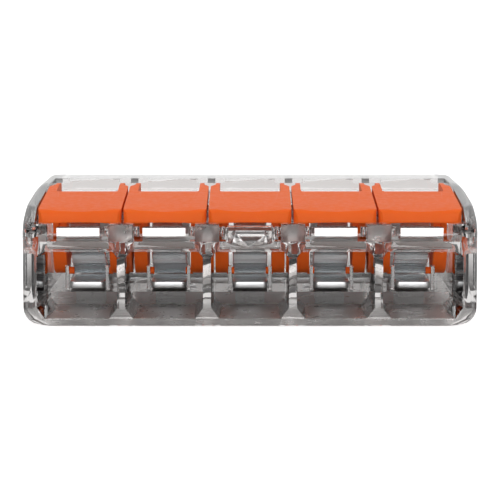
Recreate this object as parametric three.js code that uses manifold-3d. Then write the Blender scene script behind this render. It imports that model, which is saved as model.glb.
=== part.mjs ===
// Five-pole lever splicing connector: a clear housing with one wire entry per pole, five levers that
// lift at the front, a clamping spring under each lever and one busbar that joins all the poles.
//
// Millimetres. X runs along the row of poles, the wire entries face -Y, +Z is up. The origin is the
// centre of the underside.

import * as THREE from 'three';
import { ConvexGeometry } from 'three/addons/geometries/ConvexGeometry.js';
import { mergeVertices } from 'three/addons/utils/BufferGeometryUtils.js';
import Module from 'manifold-3d';

const wasm = await Module();
wasm.setup();

// ---------------------------------------------------------------- driving dimensions

const WIDTH = 29.9;
const DEPTH = 18.6;
const HEIGHT = 8.3;
const PITCH = 5.6;
const POLES = 5;

const FRONT = -DEPTH / 2;
const REAR = DEPTH / 2;
const POLE_X = Array.from({ length: POLES }, (_, i) => (i - (POLES - 1) / 2) * PITCH);
const PARTITION_X = POLE_X.slice(1).map((x) => x - PITCH / 2);
const OVER = 1; // how far a cutter runs past the face it opens

// Lever pivot and spring pivot, in the YZ plane of each pole.
const PIVOT = { y: 0.6, z: 4.2 };
const BOW = { y: -3.3, z: 5.65 };

const CHAMBER = { half: 2.5, floor: 1.3, top: 7.3, front: -4.6, rear: 7.85 };
const LEVER_BAY = 14.05; // half the clear width between the end walls at the levers
const LINTEL = { bottom: 4.72, top: 5.5, front: -8.9 };
const ENTRY = { half: 2.43, floor: 0.5, floorRear: 0.58, throat: -6.9, step: -3.9, crest: -2.98 };
const PILLAR = { inner: 1.27, outer: 1.5, front: -2.2, rear: -1.75, top: 3 };
const DECK_CHAMFER = { half: 1, low: 7.98, rear: 5.2 };
const PANEL = { half: 1.4, front: -8.85, rear: -8.1, thin: 0.2, waist: 5.85, top: 6.4 };
const ROOF_HALF = 1.85; // half the width of the bridge between a lever's arms
const DECK_FRONT = 4.85;

const LEVER = {
  half: 2.73, armInner: 2.1, armTail: 2.4, cheekInner: 1.98, cheekOuter: 2.4,
  discInner: 1.5, discRadius: 2.1, front: -7.7, windowFront: -1.7, tail: 2.2,
  tipTop: 7.45, under: 7.45, lip: 6.48, lipMiddle: 6.62,
};
const TRUNNION = { radius: 0.75, reach: 2.68, clearance: 0.2 };
const CAM = { radius: 0.25, reach: 1.926, angle: 258, inner: 1.1 };

const SPRING = {
  half: 1.02, tongueHalf: 1.2, thick: 0.28, bowRadius: 0.5, legAngle: -4.27,
  tip: [1.2, 2.3], lip: [1.42, 2.08],
};
const BUSBAR = {
  half: 1.2, bottom: 1.4, thick: 0.5, front: -2.3, up: 5.1,
  spineHalf: 12.95, spineFront: 4.6, spineRear: 6.35,
};
const COVER = { half: 13.5, bottom: 1.35, top: 7.1, front: 8, clearance: 0.15 };

// ---------------------------------------------------------------- solids

const radians = THREE.MathUtils.degToRad;

/** A closed three.js geometry as a solid that can be joined and cut. */
function solid(geometry) {
  geometry.deleteAttribute('normal');
  geometry.deleteAttribute('uv');
  const merged = mergeVertices(geometry, 1e-5);
  return new wasm.Manifold(new wasm.Mesh({
    numProp: 3,
    vertProperties: new Float32Array(merged.attributes.position.array),
    triVerts: new Uint32Array(merged.index.array),
  }));
}

/** A solid back as a three.js geometry. */
function geometryOf(body) {
  const mesh = body.getMesh();
  const geometry = new THREE.BufferGeometry();
  geometry.setAttribute('position', new THREE.BufferAttribute(mesh.vertProperties, 3));
  geometry.setIndex(new THREE.BufferAttribute(mesh.triVerts, 1));
  geometry.computeVertexNormals();
  return geometry;
}

const join = (...bodies) => bodies.reduce((whole, body) => whole.add(body));
const cut = (body, ...cutters) => cutters.reduce((left, cutter) => left.subtract(cutter), body);

/** An outline [[a, b], ...] pushed a given depth, its three directions given as columns of a basis. */
function push(points, depth, basis) {
  const shape = new THREE.Shape(points.map(([a, b]) => new THREE.Vector2(a, b)));
  const geometry = new THREE.ExtrudeGeometry(shape, { depth, bevelEnabled: false });
  return solid(geometry.applyMatrix4(basis));
}

/** A (y, z) outline pushed along X. */
function alongX(points, x0, x1) {
  const basis = new THREE.Matrix4().makeBasis(
    new THREE.Vector3(0, 1, 0), new THREE.Vector3(0, 0, 1), new THREE.Vector3(1, 0, 0));
  return push(points, x1 - x0, basis.setPosition(x0, 0, 0));
}

/** An (x, z) outline pushed along Y. */
function alongY(points, y0, y1) {
  const basis = new THREE.Matrix4().makeBasis(
    new THREE.Vector3(1, 0, 0), new THREE.Vector3(0, 0, 1), new THREE.Vector3(0, -1, 0));
  return push(points, y1 - y0, basis.setPosition(0, y1, 0));
}

/** An (x, y) outline pushed along Z. */
const alongZ = (points, z0, z1) => push(points, z1 - z0, new THREE.Matrix4().setPosition(0, 0, z0));

/** A block between two opposite corners. */
function block([x0, y0, z0], [x1, y1, z1]) {
  const box = new THREE.BoxGeometry(x1 - x0, y1 - y0, z1 - z0);
  return solid(box.translate((x0 + x1) / 2, (y0 + y1) / 2, (z0 + z1) / 2));
}

/** A round bar along X about a point (y, z). */
function roundBar(radius, x0, x1, { y, z }, sides = 24) {
  const bar = new THREE.CylinderGeometry(radius, radius, x1 - x0, sides);
  return solid(bar.rotateZ(-Math.PI / 2).translate((x0 + x1) / 2, y, z));
}

/** Both mirror images of a body made for the +X side. */
const bothSides = (make) => join(make(1), make(-1));

/** Points of an arc about (y, z), angles in degrees. */
function arc({ y, z }, radius, from, to, edges = 8) {
  return Array.from({ length: edges + 1 }, (_, i) => {
    const angle = radians(from + ((to - from) * i) / edges);
    return [y + radius * Math.cos(angle), z + radius * Math.sin(angle)];
  });
}

/** The point at a radius and angle about (y, z). */
const polar = (centre, radius, angle) => arc(centre, radius, angle, angle, 1)[0];

/** A closed outline whose corners [a, b, radius] are rounded by a few short edges. */
function rounded(corners, edges = 4) {
  return corners.flatMap(([a, b, radius = 0], i) => {
    if (radius === 0) return [[a, b]];
    const corner = new THREE.Vector2(a, b);
    const direction = (step) => {
      const [na, nb] = corners[(i + step + corners.length) % corners.length];
      return new THREE.Vector2(na, nb).sub(corner).normalize();
    };
    const back = direction(-1);
    const ahead = direction(1);
    const half = Math.acos(back.dot(ahead)) / 2;
    const centre = back.clone().add(ahead).normalize().multiplyScalar(radius / Math.sin(half)).add(corner);
    const start = back.multiplyScalar(radius / Math.tan(half)).add(corner).sub(centre);
    const end = ahead.multiplyScalar(radius / Math.tan(half)).add(corner).sub(centre);
    const sweep = Math.atan2(start.cross(end), start.dot(end));
    return Array.from({ length: edges + 1 }, (_, k) => {
      const angle = start.angle() + (sweep * k) / edges;
      return [centre.x + radius * Math.cos(angle), centre.y + radius * Math.sin(angle)];
    });
  });
}

/** The outline of a strip of even thickness along a path of (y, z) points. */
function strip(path, thick) {
  const points = path.map(([y, z]) => new THREE.Vector2(y, z));
  const normals = points.map((point, i) => {
    const before = points[Math.max(i - 1, 0)];
    const after = points[Math.min(i + 1, points.length - 1)];
    const inward = point.clone().sub(before).normalize();
    const outward = after.clone().sub(point).normalize();
    const along = inward.clone().add(outward).normalize();
    const spread = inward.lengthSq() && outward.lengthSq() ? along.dot(outward) : 1;
    return new THREE.Vector2(-along.y, along.x).multiplyScalar(thick / 2 / spread);
  });
  const side = (sign) => points.map((point, i) => {
    const edge = normals[i].clone().multiplyScalar(sign).add(point);
    return [edge.x, edge.y];
  });
  return [...side(-1), ...side(1).reverse()];
}

// ---------------------------------------------------------------- housing

/** A level outline of the outer shape, with round corners at its front and rear. */
function level([z, half, front, rear, frontRadius, rearRadius]) {
  const outline = rounded([
    [-half, front, frontRadius], [half, front, frontRadius],
    [half, rear, rearRadius], [-half, rear, rearRadius],
  ], 6);
  return outline.map(([x, y]) => new THREE.Vector3(x, y, z));
}

/** The closed outer shape: rounded below, with a top that slopes down to a rounded front. */
function envelope() {
  const side = WIDTH / 2;
  const levels = [
    [0, side - 0.9, FRONT + 0.14, REAR - 0.32, 1.3, 0.7],
    [0.08, side - 0.58, FRONT + 0.04, REAR - 0.17, 1.4, 0.8],
    [0.25, side - 0.34, FRONT, REAR - 0.05, 1.45, 0.85],
    [0.45, side - 0.165, FRONT, REAR, 1.45, 0.9],
    [0.75, side - 0.035, FRONT, REAR, 1.5, 0.9],
    [1.05, side, FRONT, REAR, 1.5, 0.9],
    [6, side, FRONT, REAR, 1.6, 0.9],
    [6.35, side, FRONT + 0.1, REAR, 1.75, 0.9],
    [6.75, side, FRONT + 0.38, REAR, 1.95, 0.9],
    [7.2, side - 0.02, FRONT + 1.15, REAR, 2.2, 0.9],
    [7.48, side - 0.05, FRONT + 1.72, REAR - 0.01, 2.3, 0.9],
    [7.62, side - 0.09, FRONT + 2.3, REAR - 0.05, 2.3, 0.9],
    [8, side - 0.15, -2.6, REAR - 0.2, 1.5, 0.85],
    [8.2, side - 0.27, -0.2, REAR - 0.42, 1, 0.8],
    [HEIGHT, side - 0.5, 1.2, REAR - 0.8, 0.8, 0.7],
  ];
  return solid(new ConvexGeometry(levels.flatMap(level)));
}

/** The space that the levers need over the partitions, closed and on their way up. */
function leverSweep() {
  const swept = arc(PIVOT, 2.95, 90, 0);
  return alongX([
    [FRONT - OVER, 6.65], [-8, 6.65], [-8, 6.3], [-6.75, 6.3], [-6.5, 6.66], [LEVER.windowFront, 7.12],
    ...swept, [3.55, 3.9], [DECK_FRONT, 3.9], [DECK_FRONT, HEIGHT + OVER], [FRONT - OVER, HEIGHT + OVER],
  ], -LEVER_BAY, LEVER_BAY);
}

/** One wire entry: a flat-floored funnel, a straight channel under the lintel and a rounded step. */
function wireEntry(x, outerLeft, outerRight) {
  const { half, floor, floorRear, throat, step, crest } = ENTRY;
  const mouth = [
    [-2.02 - outerLeft, floor], [2.02 + outerRight, floor], [2.54 + outerRight, 1.2],
    [2.54 + outerRight, 4.5], [2.25 + outerRight, 4.86], [-2.25 - outerLeft, 4.86],
    [-2.54 - outerLeft, 4.5], [-2.54 - outerLeft, 1.2],
  ];
  const narrowed = (bottom) => [
    [-1.92, bottom], [1.92, bottom], [half, 1.15], [half, 4.4], [half - 0.3, LINTEL.bottom],
    [0.3 - half, LINTEL.bottom], [-half, 4.4], [-half, 1.15],
  ];
  const ring = (outline, y) => outline.map(([u, z]) => new THREE.Vector3(x + u, y, z));
  const funnel = [...ring(mouth, FRONT - 0.01), ...ring(narrowed(floor), throat)];
  const channel = [...ring(narrowed(floor), throat - 0.01), ...ring(narrowed(floorRear), step)];
  const overStep = alongX([
    [step - 0.01, floorRear], [step, floorRear], [crest, CHAMBER.floor], [crest + 0.1, CHAMBER.floor],
    [crest + 0.1, LINTEL.bottom - 0.3], [step - 0.01, LINTEL.bottom - 0.3],
  ], x - half, x + half);
  return join(solid(new ConvexGeometry(funnel)), solid(new ConvexGeometry(channel)), overStep);
}

/** Everything that is open in one pole, apart from its lever's sweep. */
function poleSpace(x, first, last) {
  const { half, floor, top, front, rear } = CHAMBER;
  const above = HEIGHT + OVER;
  const entry = wireEntry(x, first ? 0.18 : 0, last ? 0.18 : 0);
  const chamber = block([x - half, front, floor], [x + half, rear, top]);
  const overLintel = block([x - half, -8.1, LINTEL.top], [x + half, front + 0.01, above]);
  const sight = block([x - 2.02, FRONT - OVER, LINTEL.top], [x + 2.02, -8, above]);
  const recess = block([x - 2.5, FRONT - OVER, 4.6], [x + 2.5, LINTEL.front, 5.55]);
  const groove = alongX([
    [-8.62, LINTEL.top + 0.01], [-8.08, 4.95], [-7.75, 4.95], [-7.75, LINTEL.top + 0.01],
  ], x - 2, x + 2);
  const bearing = roundBar(TRUNNION.radius + TRUNNION.clearance, x - 2.85, x + 2.85, PIVOT);
  const ledge = block([x - 2.02, LINTEL.front - 0.01, 5.12],
    [x + 2.02, LINTEL.front + 0.13, LINTEL.top + 0.01]);
  return join(entry, chamber, overLintel, sight, recess, ledge, groove, bearing);
}

/** The front panel over one wire entry: a thin web that widens to a prism along its top. */
function frontPanel(x) {
  const { half, front, rear, thin, waist, top } = PANEL;
  return alongX([
    [front, LINTEL.top - 0.1], [front + thin, LINTEL.top - 0.1], [front + thin, waist],
    [rear, top], [front, top],
  ], x - half, x + half);
}

/** The head on the front end of a partition, with a small post on each side of it. */
function partitionHead(x) {
  const head = block([x - 0.78, FRONT, 5.55], [x + 0.78, -8.1, 6.6]);
  const post = (sign) => roundBar(0.19, 0, 0.62, { y: 0, z: 0 }, 12)
    .rotate([0, -90, 0])
    .translate([x + sign * 1, -8.55, 5.82]);
  const root = block([x - 1, -8.62, 5.82], [x + 1, -8.42, 6.44]);
  return join(head, root, bothSides(post));
}

/** The bridge between a lever's arms, and the wall that carries it behind the groove. */
function bridge(x) {
  const crown = arc(PIVOT, 3.7, 37, 126, 10);
  const arch = alongX([
    ...crown, [-1.57, 6.62], [0.6, 6.9], [2.2, 6.6], [3.1, 5.95], [DECK_FRONT + 0.1, 5.95],
    [DECK_FRONT + 0.1, 6.2], [3.55, 6.2],
  ], x - ROOF_HALF, x + ROOF_HALF);
  const wall = block([x - CHAMBER.half - 0.05, DECK_FRONT, 5.95],
    [x + CHAMBER.half + 0.05, DECK_FRONT + 0.5, CHAMBER.top + 0.05]);
  return join(arch, wall);
}

/** The two guide pillars that stand beside one spring tongue. */
function pillars(x) {
  const { inner, outer, front, rear, top } = PILLAR;
  const span = (sign) => (sign > 0 ? [x + inner, x + outer] : [x - outer, x - inner]);
  return bothSides((sign) => {
    const [x0, x1] = span(sign);
    return block([x0, front, CHAMBER.floor - 0.1], [x1, rear, top]);
  });
}

/** The chamfer on the deck's front edge behind a partition. */
function deckChamfer(x) {
  const { half, low, rear } = DECK_CHAMFER;
  const x0 = Math.max(x - half, -LEVER_BAY);
  const x1 = Math.min(x + half, LEVER_BAY);
  const edge = [[DECK_FRONT - 0.01, low], [rear, HEIGHT + 0.01], [DECK_FRONT - 0.01, HEIGHT + 0.01]];
  return alongX(edge, x0, x1);
}

/** The blunt nose over the middle wire entry. */
function nose() {
  const front = rounded([
    [-1.6, 5.5, 0.3], [0, 5.16, 0.6], [1.6, 5.5, 0.3], [1.6, 6.5, 0.2], [-1.6, 6.5, 0.2],
  ]);
  return alongY(front, FRONT + 0.1, -8.3);
}

/** The pocket that the rear cover sits in, with a notch for each of its two catches. */
function coverPocket() {
  const gap = COVER.clearance;
  const reach = COVER.half + gap;
  const pocket = block([-reach, CHAMBER.rear - 0.01, COVER.bottom - gap],
    [reach, REAR + OVER, COVER.top + gap]);
  const notch = block([-reach - 0.45, 8.3, 3.3], [reach + 0.45, 8.95, 4.7]);
  return join(pocket, notch);
}

function housing() {
  const spineSlot = block([-13.25, 4.35, CHAMBER.floor], [13.25, CHAMBER.rear, 2.35]);
  let body = cut(envelope(), leverSweep(), spineSlot, coverPocket());
  POLE_X.forEach((x, i) => {
    body = cut(body, poleSpace(x, i === 0, i === POLES - 1));
  });
  body = join(
    body, nose(), ...PARTITION_X.map(partitionHead),
    ...[frontPanel, bridge, pillars].flatMap((make) => POLE_X.map(make)),
  );
  return cut(body, ...[-14, ...PARTITION_X, 14].map(deckChamfer));
}

// ---------------------------------------------------------------- rear cover

function rearCover() {
  const { half, bottom, top, front } = COVER;
  const plate = block([-half, front, bottom], [half, REAR, top]);
  const catches = block([-half - 0.3, 8.4, 3.5], [half + 0.3, 8.8, 4.5]);
  const stops = POLE_X.map((x) => block([x - 1.6, 7.3, 2.6], [x + 1.6, front + 0.01, 4.3]));
  const pulls = POLE_X.map((x) => block([x - 1.5, REAR - 0.4, 5], [x + 1.5, REAR + OVER, 6]));
  return cut(join(plate, catches, ...stops), ...pulls);
}

// ---------------------------------------------------------------- metal parts

/** A tin-plated comb: a spine across all the poles, a finger and an upstand in each. */
function busbar() {
  const { half, bottom, thick, front, spineHalf, spineFront, spineRear, up } = BUSBAR;
  const comb = [[-spineHalf, spineRear], [-spineHalf, spineFront]];
  POLE_X.forEach((x) => {
    comb.push([x - half, spineFront], [x - half, front, 0.3]);
    comb.push([x + half, front, 0.3], [x + half, spineFront]);
  });
  comb.push([spineHalf, spineFront], [spineHalf, spineRear]);
  const plate = alongZ(rounded(comb), bottom, bottom + thick);
  const upstands = POLE_X.map((x) => block([x - half, spineRear - thick, bottom + thick / 2],
    [x + half, spineRear, up]));
  return join(plate, ...upstands);
}

/** The slope, in degrees below level, of a tongue that runs from the bow's underside to its tip. */
function tongueSlope() {
  const dy = SPRING.tip[0] - BOW.y;
  const dz = BOW.z - SPRING.tip[1];
  const reach = Math.hypot(dy, dz);
  return THREE.MathUtils.radToDeg(Math.atan2(dz, dy) - Math.asin(SPRING.bowRadius / reach));
}

/** The fixed part of a spring: hook over the busbar's upstand, holding leg and bow. */
function springClip() {
  const legTop = 90 + SPRING.legAngle;
  const leg = polar(BOW, SPRING.bowRadius, legTop);
  const hookY = 6.85;
  const hookZ = leg[1] + Math.tan(radians(SPRING.legAngle)) * (hookY - 0.35 - leg[0]);
  const path = [
    [hookY, 4.4], [hookY, hookZ - 0.35], [hookY - 0.1, hookZ - 0.1], [hookY - 0.35, hookZ],
    ...arc(BOW, SPRING.bowRadius, legTop, 215, 9),
  ];
  return alongX(strip(path, SPRING.thick), -SPRING.half, SPRING.half);
}

/** The moving part of a spring: the end of the bow and the clamping tongue, wider below its shoulders. */
function springTongue() {
  const { half, tongueHalf, thick, bowRadius, tip, lip } = SPRING;
  const path = [...arc(BOW, bowRadius, 226, 270 - tongueSlope(), 2), tip, lip];
  const plan = [
    [-half, FRONT], [half, FRONT], [half, -2.5], [tongueHalf, -2.1],
    [tongueHalf, REAR], [-tongueHalf, REAR], [-tongueHalf, -2.1], [-half, -2.5],
  ];
  return alongX(strip(path, thick), -tongueHalf, tongueHalf).intersect(alongZ(plan, 0, HEIGHT));
}

// ---------------------------------------------------------------- lever

/** The flat top of a lever with its turned-down lip, a shallow finger dip and its two arms. */
function leverTop() {
  const { half, armInner, armTail, front, windowFront, tail, tipTop, under, lip, lipMiddle } = LEVER;
  const profile = rounded([
    [front, lip, 0.22], [-6.95, lip, 0.15], [-6.7, 6.97, 0.3], [windowFront, under], [tail, under, 0.2],
    [tail, HEIGHT, 0.45], [0.6, HEIGHT, 2], [front + 0.1, tipTop, 0.35],
  ]);
  const plan = rounded([
    [-half, front, 0.45], [half, front, 0.45], [half, 0.1, 0.5], [armTail, 0.65, 0.5],
    [armTail, tail, 0.15], [armInner, tail, 0.12], [armInner, windowFront, 0.25],
    [-armInner, windowFront, 0.25], [-armInner, tail, 0.12], [-armTail, tail, 0.15],
    [-armTail, 0.65, 0.5], [-half, 0.1, 0.5],
  ]);
  const lowerEdge = [-1, -0.75, -0.5, -0.25, 0, 0.25, 0.5, 0.75, 1].map((t) => [
    t * half, lipMiddle - (lipMiddle - lip) * t * t]);
  const face = [...lowerEdge, [half, HEIGHT + OVER], [-half, HEIGHT + OVER]];
  const dipRadius = 24;
  const dipSlope = 10.5;
  const dipDepth = 0.16;
  const axisUp = tipTop - dipDepth + dipRadius / Math.cos(radians(dipSlope));
  const dip = new THREE.CylinderGeometry(dipRadius, dipRadius, 9, 96);
  dip.rotateX(radians(dipSlope)).translate(0, front, axisUp);
  return alongX(profile, -half, half)
    .intersect(alongZ(plan, lip - OVER, HEIGHT + OVER))
    .intersect(alongY(face, front - OVER, REAR))
    .subtract(solid(dip));
}

/** One side of a lever below its arm: cheek, disc, trunnion and cam peg. */
function leverSide(sign) {
  const { cheekInner, cheekOuter, discInner, discRadius, under } = LEVER;
  const span = (x0, x1) => (sign > 0 ? [x0, x1] : [-x1, -x0]);
  const neck = [[-1.15, 4.6], [2.35, 4.6], [1.9, under + 0.15], [-1.5, under + 0.15]];
  const [camY, camZ] = polar(PIVOT, CAM.reach, CAM.angle);
  return join(
    alongX(neck, ...span(cheekInner, cheekOuter)),
    roundBar(discRadius, ...span(discInner, cheekOuter), PIVOT, 36),
    roundBar(TRUNNION.radius, ...span(cheekOuter - 0.1, TRUNNION.reach), PIVOT),
    roundBar(CAM.radius, ...span(CAM.inner, discInner + 0.1), { y: camY, z: camZ }, 16),
  );
}

const lever = () => join(leverTop(), bothSides(leverSide));

// ---------------------------------------------------------------- scene

const clear = { color: 0xb9b7b4, roughness: 0.08, metalness: 0, transparent: true, opacity: 0.35 };
const orange = { color: 0xe06a34, roughness: 0.4, metalness: 0 };
const steel = { color: 0xb4bcc0, roughness: 0.25, metalness: 1 };
const tin = { color: 0xc4c6c5, roughness: 0.35, metalness: 1 };

const connector = new THREE.Group();

/** Adds one named piece, moved along X to its pole. */
function addPiece(name, geometry, look, x = 0) {
  const piece = new THREE.Mesh(geometry, new THREE.MeshStandardMaterial(look));
  piece.name = name;
  piece.position.x = x;
  connector.add(piece);
}

addPiece('housing', geometryOf(housing()), clear);
addPiece('rear_cover', geometryOf(rearCover()), clear);
addPiece('busbar', geometryOf(busbar()), tin);

const clipShape = geometryOf(springClip());
const tongueShape = geometryOf(springTongue());
const leverShape = geometryOf(lever());
POLE_X.forEach((x, i) => {
  addPiece(`spring_clip_${i + 1}`, clipShape, steel, x);
  addPiece(`spring_tongue_${i + 1}`, tongueShape, steel, x);
  addPiece(`lever_${i + 1}`, leverShape, orange, x);
});

export default connector;
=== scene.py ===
import bmesh
import bpy
import math
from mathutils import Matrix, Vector


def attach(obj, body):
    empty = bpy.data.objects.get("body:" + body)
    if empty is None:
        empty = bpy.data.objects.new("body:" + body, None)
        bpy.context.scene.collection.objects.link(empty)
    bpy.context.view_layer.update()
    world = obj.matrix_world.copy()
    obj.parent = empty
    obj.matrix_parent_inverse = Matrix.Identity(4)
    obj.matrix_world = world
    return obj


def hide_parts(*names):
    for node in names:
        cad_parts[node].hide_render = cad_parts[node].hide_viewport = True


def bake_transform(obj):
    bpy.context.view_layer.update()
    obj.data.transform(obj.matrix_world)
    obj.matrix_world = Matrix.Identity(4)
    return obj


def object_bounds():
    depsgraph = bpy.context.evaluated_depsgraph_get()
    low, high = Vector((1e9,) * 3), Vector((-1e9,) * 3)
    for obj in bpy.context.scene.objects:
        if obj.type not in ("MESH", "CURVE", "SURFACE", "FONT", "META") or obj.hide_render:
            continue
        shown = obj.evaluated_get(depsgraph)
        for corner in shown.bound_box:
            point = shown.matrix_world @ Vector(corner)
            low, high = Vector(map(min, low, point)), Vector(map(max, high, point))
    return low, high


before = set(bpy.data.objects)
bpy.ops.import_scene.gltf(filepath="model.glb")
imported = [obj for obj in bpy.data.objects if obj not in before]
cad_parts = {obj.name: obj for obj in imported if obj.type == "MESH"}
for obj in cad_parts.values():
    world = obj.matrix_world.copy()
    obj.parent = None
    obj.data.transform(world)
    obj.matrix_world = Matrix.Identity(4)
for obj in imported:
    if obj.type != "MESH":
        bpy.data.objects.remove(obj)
cad_low, cad_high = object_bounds()

# Lengths are in millimetres until they are put into a mesh. MM turns them into metres.
MM = 0.001
PITCH = 5.6
POLES = 5
POLE_X = [(i - (POLES - 1) / 2) * PITCH for i in range(POLES)]


# ---------------------------------------------------------------- materials

def material(name):
    """A new node material and a short way to add and link its nodes."""
    made = bpy.data.materials.new(name)
    made.use_nodes = True
    tree = made.node_tree
    tree.nodes.clear()
    output = tree.nodes.new("ShaderNodeOutputMaterial")
    return made, tree, output


def node(tree, kind, **sockets):
    """Adds a node and sets the named input sockets."""
    added = tree.nodes.new(kind)
    for key, value in sockets.items():
        added.inputs[key.replace("_", " ")].default_value = value
    return added


def noise(tree, scale, stretch=(1, 1, 1), detail=3):
    """Noise in object coordinates, with its scale given per metre."""
    where = tree.nodes.new("ShaderNodeTexCoord")
    mapping = tree.nodes.new("ShaderNodeMapping")
    mapping.inputs["Scale"].default_value = stretch
    pattern = node(tree, "ShaderNodeTexNoise", Scale=scale, Detail=detail, Roughness=0.55)
    tree.links.new(where.outputs["Object"], mapping.inputs["Vector"])
    tree.links.new(mapping.outputs["Vector"], pattern.inputs["Vector"])
    return pattern.outputs["Fac"]


def math_node(tree, operation, first, second=None):
    """One sum on a source socket, with a second value that is a number or another socket."""
    made = tree.nodes.new("ShaderNodeMath")
    made.operation = operation
    tree.links.new(first, made.inputs[0])
    if isinstance(second, float):
        made.inputs[1].default_value = second
    elif second is not None:
        tree.links.new(second, made.inputs[1])
    return made.outputs[0]


def fraction(tree, source, start, end):
    """How far a length on a source socket is on its way from start to end, from 0 to 1."""
    made = tree.nodes.new("ShaderNodeMapRange")
    made.inputs["From Min"].default_value = start * MM
    made.inputs["From Max"].default_value = end * MM
    tree.links.new(source, made.inputs["Value"])
    return made.outputs["Result"]


def mix_shaders(tree, share, first, second):
    """The first shader where the share is 0, and the second where it is 1."""
    made = tree.nodes.new("ShaderNodeMixShader")
    tree.links.new(share, made.inputs["Fac"])
    tree.links.new(first, made.inputs[1])
    tree.links.new(second, made.inputs[2])
    return made.outputs[0]


def ramp(tree, source, low, high, start=0.35, end=0.65):
    """A grey or colour ramp from low to high over a value from 0 to 1."""
    made = tree.nodes.new("ShaderNodeValToRGB")
    stops = made.color_ramp.elements
    stops[0].position, stops[1].position = start, end
    stops[0].color = (*low, 1)
    stops[1].color = (*high, 1)
    tree.links.new(source, made.inputs["Fac"])
    return made.outputs["Color"]


def grey(value):
    return (value, value, value)


def bump(tree, source, strength, distance):
    made = node(tree, "ShaderNodeBump", Strength=strength, Distance=distance)
    tree.links.new(source, made.inputs["Height"])
    return made.outputs["Normal"]


def clear_plastic(name, rough_low, rough_high):
    """Clear moulded polycarbonate, a little grey and warm, with faint flow ripples. Shadows pass it."""
    made, tree, output = material(name)
    shader = node(tree, "ShaderNodeBsdfPrincipled", IOR=1.585)
    shader.inputs["Transmission Weight"].default_value = 1
    tint = ramp(tree, noise(tree, 160), (0.72, 0.70, 0.69), (0.76, 0.74, 0.73))
    rough = ramp(tree, noise(tree, 900), grey(rough_low), grey(rough_high))
    tree.links.new(tint, shader.inputs["Base Color"])
    tree.links.new(rough, shader.inputs["Roughness"])
    tree.links.new(bump(tree, noise(tree, 420), 0.01, 0.00002), shader.inputs["Normal"])
    clear = node(tree, "ShaderNodeBsdfTransparent", Color=(0.68, 0.65, 0.64, 1))
    path = tree.nodes.new("ShaderNodeLightPath")
    surface = mix_shaders(tree, path.outputs["Is Shadow Ray"], shader.outputs[0], clear.outputs[0])
    tree.links.new(surface, output.inputs["Surface"])
    return made


def lever_plastic():
    """Orange moulded plastic, satin, with a fine spark-eroded grain."""
    made, tree, output = material("orange_lever_plastic")
    shader = node(tree, "ShaderNodeBsdfPrincipled", IOR=1.45)
    shader.inputs["Specular IOR Level"].default_value = 0.1
    colour = ramp(tree, noise(tree, 260), (0.86, 0.135, 0.018), (0.88, 0.14, 0.02))
    rough = ramp(tree, noise(tree, 2600), grey(0.42), grey(0.54))
    tree.links.new(colour, shader.inputs["Base Color"])
    tree.links.new(rough, shader.inputs["Roughness"])
    shader.inputs["Subsurface Weight"].default_value = 0.12
    shader.inputs["Subsurface Radius"].default_value = (0.6, 0.12, 0.04)
    shader.inputs["Subsurface Scale"].default_value = 0.001
    tree.links.new(bump(tree, noise(tree, 9000, detail=2), 0.14, 0.000008), shader.inputs["Normal"])
    tree.links.new(shader.outputs[0], output.inputs["Surface"])
    return made


def rolled_metal(name, dark, light, rough_low, rough_high, stretch):
    """Rolled strip: fine lines along the rolling direction in colour, roughness and height."""
    made, tree, output = material(name)
    shader = node(tree, "ShaderNodeBsdfPrincipled", Metallic=0.85)
    lines = noise(tree, 2200, stretch)
    tree.links.new(ramp(tree, lines, dark, light), shader.inputs["Base Color"])
    tree.links.new(ramp(tree, lines, grey(rough_low), grey(rough_high)), shader.inputs["Roughness"])
    tree.links.new(bump(tree, lines, 0.05, 0.000006), shader.inputs["Normal"])
    tree.links.new(shader.outputs[0], output.inputs["Surface"])
    return made


CLEAR = clear_plastic("clear_polycarbonate", 0.0, 0.03)
SATIN = clear_plastic("satin_polycarbonate", 0.26, 0.36)
ORANGE = lever_plastic()
STEEL = rolled_metal("rolled_spring_steel", (0.74, 0.79, 0.82), (0.95, 0.98, 1.0), 0.24, 0.32, (0.03, 1, 1))
TIN = rolled_metal("tin_plated_copper", (0.5, 0.51, 0.515), (0.62, 0.63, 0.63), 0.24, 0.36, (0.06, 1, 1))


# ---------------------------------------------------------------- moulded and stamped pieces

WELD = 0.002  # points closer than this are one point
FLAT_WITHIN = math.radians(0.5)
SHARP_FROM = math.radians(24)  # edges bent more than this are rounded


def softened(source, name, body, look, width, segments=2):
    """A piece with a CAD node's shape and rounded edges. It stands for that node."""
    shape = bmesh.new()
    shape.from_mesh(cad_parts[source].data)
    bmesh.ops.remove_doubles(shape, verts=shape.verts, dist=WELD * MM)
    bmesh.ops.dissolve_limit(shape, angle_limit=FLAT_WITHIN, verts=shape.verts, edges=shape.edges)
    bmesh.ops.recalc_face_normals(shape, faces=shape.faces)
    sharp = [e for e in shape.edges if len(e.link_faces) == 2 and e.calc_face_angle() > SHARP_FROM]
    bmesh.ops.bevel(shape, geom=sharp, offset=width * MM, offset_type="OFFSET", segments=segments,
                    profile=0.5, affect="EDGES", clamp_overlap=True)
    bmesh.ops.triangulate(shape, faces=[f for f in shape.faces if len(f.verts) > 4])
    mesh = bpy.data.meshes.new(name)
    shape.to_mesh(mesh)
    shape.free()
    mesh.shade_smooth()
    mesh.materials.append(look)
    piece = bpy.data.objects.new(name, mesh)
    bpy.context.scene.collection.objects.link(piece)
    weighted = piece.modifiers.new("face_normals", "WEIGHTED_NORMAL")
    weighted.mode = "FACE_AREA"
    weighted.weight = 100
    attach(piece, body)
    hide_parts(source)
    return piece


SQUARE_ON = 0.98  # the least cosine between a face's normal and the axis it is taken to face
UNDERSIDE = 0.02
ENTRY_FLOOR = {"low": 0.4, "high": 0.7, "rear": -3.8}
HEAD = {"low": 5.5, "high": 6.7, "front": -9.25}


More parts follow.
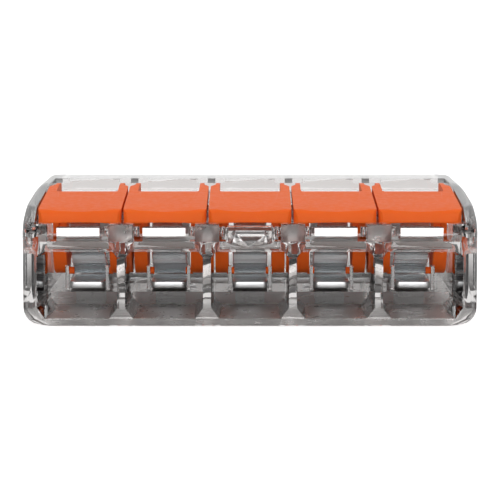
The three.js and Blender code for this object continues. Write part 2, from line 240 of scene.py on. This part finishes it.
def satin_faces(piece):
    """The mould's eroded faces: the underside, the floors of the wire entries and the partition heads."""
    piece.data.materials.append(SATIN)
    for face in piece.data.polygons:
        _, y, z = (value / MM for value in face.center)
        level = abs(face.normal.z) > SQUARE_ON
        underside = level and z < UNDERSIDE
        entry_floor = level and ENTRY_FLOOR["low"] < z < ENTRY_FLOOR["high"] and y < ENTRY_FLOOR["rear"]
        head = face.normal.y < -SQUARE_ON and y < HEAD["front"] and HEAD["low"] < z < HEAD["high"]
        if underside or entry_floor or head:
            face.material_index = 1


satin_faces(softened("housing", "clear_housing", "housing_body", CLEAR, 0.08))
softened("rear_cover", "clear_rear_cover", "housing_body", CLEAR, 0.08)
softened("busbar", "tinned_busbar", "housing_body", TIN, 0.06)
for pole in range(1, POLES + 1):
    softened(f"lever_{pole}", f"orange_lever_{pole}", f"lever_{pole}", ORANGE, 0.12, 3)


# ---------------------------------------------------------------- springs

# Points are (y, z) in the pole's middle plane, and are the CAD springs' own apart from the steps.
BOW = (-3.3, 5.65)
BOW_RADIUS = 0.5
THICK = 0.28
LEG_ANGLE = -4.27
TIP = (1.2, 2.3)
LIP = (1.42, 2.08)
# Shallow steps down the tongue.
STEPS = [(-0.8, 3.62), (-0.74, 3.36), (-0.36, 3.36), (-0.2, 3.02), (0.3, 2.86)]
HOOK_Y = 6.85
HOOK_END = 4.4
HOOK_RADIUS = 0.35
HALF = 1.02
TONGUE_HALF = 1.2
SHOULDER = {"front": -2.5, "length": 0.4}
EDGE = 0.07  # how much is rounded off the strip's edges
EDGE_BULGE = 0.3  # how near the rounding comes to the square corner, as a share of EDGE
LONGEST_STEP = 0.35
CREASE_FROM = math.radians(20)


def arc(centre, radius, start, end, count):
    """Points of an arc, angles in degrees."""
    turns = [math.radians(start + (end - start) * i / count) for i in range(count + 1)]
    return [(centre[0] + radius * math.cos(t), centre[1] + radius * math.sin(t)) for t in turns]


def tongue_slope():
    """The slope of the tongue below level, in degrees."""
    dy, dz = TIP[0] - BOW[0], BOW[1] - TIP[1]
    return math.degrees(math.atan2(dz, dy) - math.asin(BOW_RADIUS / math.hypot(dy, dz)))


def subdivided(points, step):
    """The same path with points no further apart than step."""
    path = [points[0]]
    for (y0, z0), (y1, z1) in zip(points, points[1:]):
        count = max(1, math.ceil(math.hypot(y1 - y0, z1 - z0) / step))
        path += [(y0 + (y1 - y0) * k / count, z0 + (z1 - z0) * k / count) for k in range(1, count + 1)]
    return path


def spring_path():
    leg_y, leg_z = arc(BOW, BOW_RADIUS, 90 + LEG_ANGLE, 90 + LEG_ANGLE, 1)[0]
    hook_z = leg_z + math.tan(math.radians(LEG_ANGLE)) * (HOOK_Y - HOOK_RADIUS - leg_y)
    corner = arc((HOOK_Y - HOOK_RADIUS, hook_z - HOOK_RADIUS), HOOK_RADIUS, 0, 90, 5)
    bend = arc(BOW, BOW_RADIUS, 90 + LEG_ANGLE, 270 - tongue_slope(), 18)
    return subdivided([(HOOK_Y, HOOK_END), *corner, *bend, *STEPS, TIP, LIP], LONGEST_STEP)


def half_width(y, on_tongue):
    """Half the strip's width: the tongue has shoulders a little below the bow."""
    if not on_tongue:
        return HALF
    t = min(1, max(0, (y - SHOULDER["front"]) / SHOULDER["length"]))
    return HALF + (TONGUE_HALF - HALF) * t * t * (3 - 2 * t)


def strip_section(half, thick):
    """The strip's outline across its length, with rounded corners, as (sideways, outwards)."""
    near = EDGE * EDGE_BULGE
    w, t = half, thick / 2
    return [(-w + EDGE, -t), (w - EDGE, -t), (w - near, -t + near), (w, -t + EDGE),
            (w, t - EDGE), (w - near, t - near), (w - EDGE, t), (-w + EDGE, t),
            (-w + near, t - near), (-w, t - EDGE), (-w, -t + EDGE), (-w + near, -t + near)]


def spring(index, x):
    """One clamping spring, bent from a strip with rounded edges."""
    path = spring_path()
    mesh = bpy.data.meshes.new(f"clamping_spring_{index}")
    shape = bmesh.new()
    turn = max(range(len(path)), key=lambda i: -path[i][0])
    rings = []
    for i, (y, z) in enumerate(path):
        before, after = path[max(i - 1, 0)], path[min(i + 1, len(path) - 1)]
        along = Vector((after[0] - before[0], after[1] - before[1])).normalized()
        across = Vector((-along.y, along.x))
        section = strip_section(half_width(y, i > turn), THICK)
        rings.append([shape.verts.new(((x + u) * MM, (y + across.x * v) * MM, (z + across.y * v) * MM))
                      for u, v in section])
    for one, other in zip(rings, rings[1:]):
        for k in range(len(one)):
            n = (k + 1) % len(one)
            shape.faces.new((one[k], one[n], other[n], other[k]))
    shape.faces.new(rings[0])
    shape.faces.new(reversed(rings[-1]))
    bmesh.ops.recalc_face_normals(shape, faces=shape.faces)
    shape.to_mesh(mesh)
    shape.free()
    mesh.shade_smooth()
    mesh.set_sharp_from_angle(angle=CREASE_FROM)
    piece = bpy.data.objects.new(f"clamping_spring_{index}", mesh)
    bpy.context.scene.collection.objects.link(piece)
    mesh.materials.append(STEEL)
    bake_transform(piece)
    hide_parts(f"spring_clip_{index}", f"spring_tongue_{index}")


for pole, pole_x in enumerate(POLE_X, 1):
    spring(pole, pole_x)


# ---------------------------------------------------------------- stage

FLOOR = {"half_width": 700, "front": -400, "rear": 150, "curve": 120, "top": 500, "drop": 0.05}
# Where the floor's painted shade starts in reflections and refractions, along Y, and where it turns white
# again, along Y behind the object and as far beyond its end faces.
FLOOR_PAINTED_SHADE = {"start": -5.8, "end": -4.2}
FLOOR_WHITE = {"start": 14, "end": 30}


def floor_material():
    """Pale to the camera. To reflections and refractions it has painted shade, dark under and around the
    object, and glows white further out.
    """
    made, tree, output = material("pale_floor_painted_shade")
    seen = node(tree, "ShaderNodeBsdfPrincipled", Roughness=0.9)
    seen.inputs["Base Color"].default_value = (0.92, 0.92, 0.92, 1)
    seen.inputs["Emission Color"].default_value = (1, 1, 1, 1)
    seen.inputs["Emission Strength"].default_value = 0.6
    near = node(tree, "ShaderNodeBsdfDiffuse")
    far = node(tree, "ShaderNodeEmission", Color=(1, 1, 1, 1), Strength=1)
    where = tree.nodes.new("ShaderNodeTexCoord")
    parts = tree.nodes.new("ShaderNodeSeparateXYZ")
    tree.links.new(where.outputs["Object"], parts.inputs[0])
    end_beyond_rear = cad_high[0] - cad_high[1]
    sideways = math_node(tree, "ABSOLUTE", parts.outputs["X"])
    beside = math_node(tree, "SUBTRACT", sideways, end_beyond_rear)
    outside = math_node(tree, "MAXIMUM", beside, parts.outputs["Y"])
    whiteness = fraction(tree, outside, FLOOR_WHITE["start"], FLOOR_WHITE["end"])
    painted_shade = fraction(tree, parts.outputs["Y"], FLOOR_PAINTED_SHADE["start"], FLOOR_PAINTED_SHADE["end"])
    # Painted shade: to reflected and refracted rays the floor turns from pale to near black along Y under
    # the object's front part, and stays dark under the rest of it and around it.
    tree.links.new(ramp(tree, painted_shade, grey(0.95), (0.1, 0.097, 0.095), 0, 1), near.inputs["Color"])
    around = mix_shaders(tree, whiteness, near.outputs[0], far.outputs[0])
    path = tree.nodes.new("ShaderNodeLightPath")
    surface = mix_shaders(tree, path.outputs["Is Camera Ray"], around, seen.outputs[0])
    tree.links.new(surface, output.inputs["Surface"])
    return made


def floor():
    """One sheet that lies just under the object and curves up behind it."""
    mesh = bpy.data.meshes.new("floor")
    shape = bmesh.new()
    half, rear, curve = FLOOR["half_width"], FLOOR["rear"], FLOOR["curve"]
    bend = arc((rear, curve), curve, -90, 0, 12)
    profile = [(FLOOR["front"], 0), (rear, 0), *bend, (rear + curve, FLOOR["top"])]
    rows = [[shape.verts.new((x * MM, y * MM, (z - FLOOR["drop"]) * MM)) for x in (-half, half)]
            for y, z in profile]
    for one, other in zip(rows, rows[1:]):
        shape.faces.new((one[0], one[1], other[1], other[0]))
    shape.to_mesh(mesh)
    shape.free()
    mesh.shade_smooth()
    piece = bpy.data.objects.new("floor", mesh)
    bpy.context.scene.collection.objects.link(piece)
    mesh.materials.append(floor_material())


def soft_box(name, place, target, size, power):
    """A soft box at a place, turned to a target, of a width and height, with its power in watts."""
    light = bpy.data.lights.new(name, "AREA")
    light.shape = "RECTANGLE"
    light.size, light.size_y = size[0] * MM, size[1] * MM
    light.energy = power
    lamp = bpy.data.objects.new(name, light)
    lamp.location = Vector(place) * MM
    lamp.rotation_euler = (Vector(target) - Vector(place)).to_track_quat("-Z", "Y").to_euler()
    bpy.context.scene.collection.objects.link(lamp)


floor()
soft_box("overhead", (0, 10, 160), (0, 0, 0), (220, 140), 0.15)
soft_box("front", (0, -300, 60), (0, 0, 3), (300, 100), 0.45)
soft_box("front_left", (-160, -150, 120), (0, 0, 4), (90, 120), 0.05)
soft_box("front_right", (170, -140, 90), (0, 0, 4), (80, 110), 0.03)
soft_box("backdrop_glow", (0, 120, 120), (0, 260, 60), (300, 100), 0.3)

world = bpy.data.worlds.new("surround")
world.use_nodes = True
world.node_tree.nodes["Background"].inputs["Color"].default_value = (0.15, 0.15, 0.15, 1)
world.node_tree.nodes["Background"].inputs["Strength"].default_value = 0.6
bpy.context.scene.world = world

# ---------------------------------------------------------------- camera

# The camera looks level with the row of poles and a little down, past the housing's lower front edge.
ELEVATION = math.radians(7.6)
FRONT_EDGE = Vector((0, -9.3, 0))
AIM_HEIGHT = 4.97  # how far the line of sight passes above that edge, square to the line
DISTANCE = 124  # from the edge, along the line of sight
SENSOR_WIDTH = 36
FOCAL_LENGTH = 136.8

forward = Vector((0, math.cos(ELEVATION), -math.sin(ELEVATION)))
upward = Vector((0, math.sin(ELEVATION), math.cos(ELEVATION)))
lens = bpy.data.cameras.new("camera")
lens.sensor_width = SENSOR_WIDTH
lens.lens = FOCAL_LENGTH
lens.clip_start = 0.001
lens.clip_end = 10
camera = bpy.data.objects.new("camera", lens)
camera.location = (FRONT_EDGE + upward * AIM_HEIGHT - forward * DISTANCE) * MM
camera.rotation_euler = forward.to_track_quat("-Z", "Y").to_euler()
bpy.context.scene.collection.objects.link(camera)
bpy.context.scene.camera = camera
bpy.context.scene.view_settings.view_transform = "Standard"
